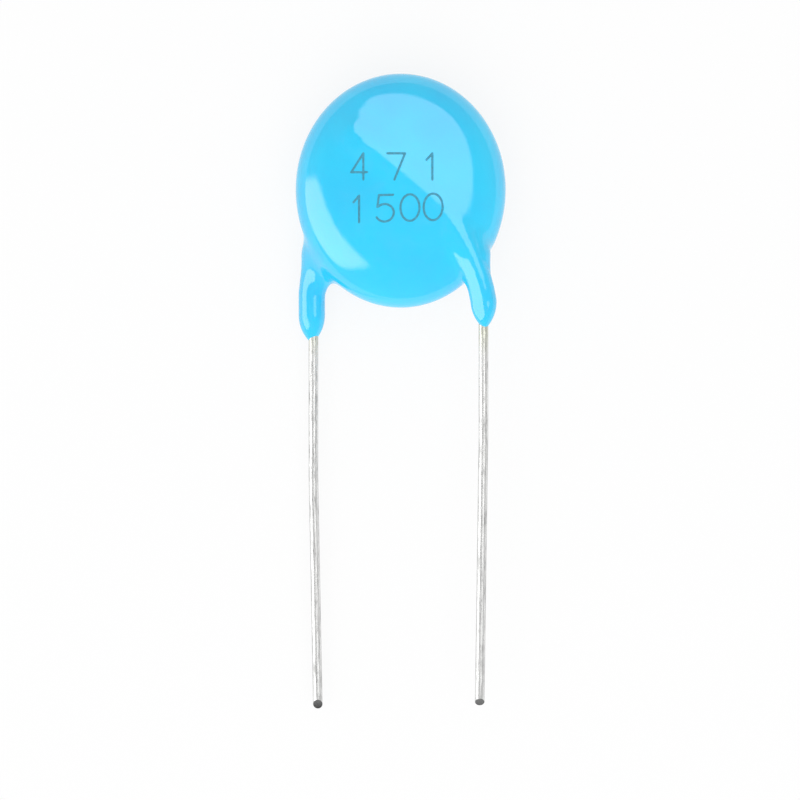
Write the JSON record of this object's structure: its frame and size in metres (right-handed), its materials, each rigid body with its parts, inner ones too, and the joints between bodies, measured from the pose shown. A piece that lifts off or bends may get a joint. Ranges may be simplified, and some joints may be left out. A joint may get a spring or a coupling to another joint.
{
  "type": "ceramic disc capacitor",
  "caption": "High-voltage ceramic disc capacitor: a thick disc dipped in glossy blue resin, with bare tinned wire leads for through-hole mounting.",
  "frame": {"origin": "on the small flat of the back, under the centre of the disc", "axes": "+Z out of the printed front face, +Y towards the top of the disc, leads along -Y, +X to the right lead"},
  "size_m": [0.0156, 0.047, 0.0072],
  "materials": {
    "coating": "glossy dipped resin",
    "ceramic": "fired, matt",
    "silver": "fired silver, matt",
    "solder": "satin",
    "tinned_wire": "tinned, drawn"
  },
  "bodies": {
    "root": {"coating": "coating", "ceramic_disc": "ceramic", "front_electrode": "silver", "rear_electrode": "silver", "front_solder": "solder", "rear_solder": "solder", "left_lead": "tinned_wire", "right_lead": "tinned_wire"}
  },
  "joints": []
}
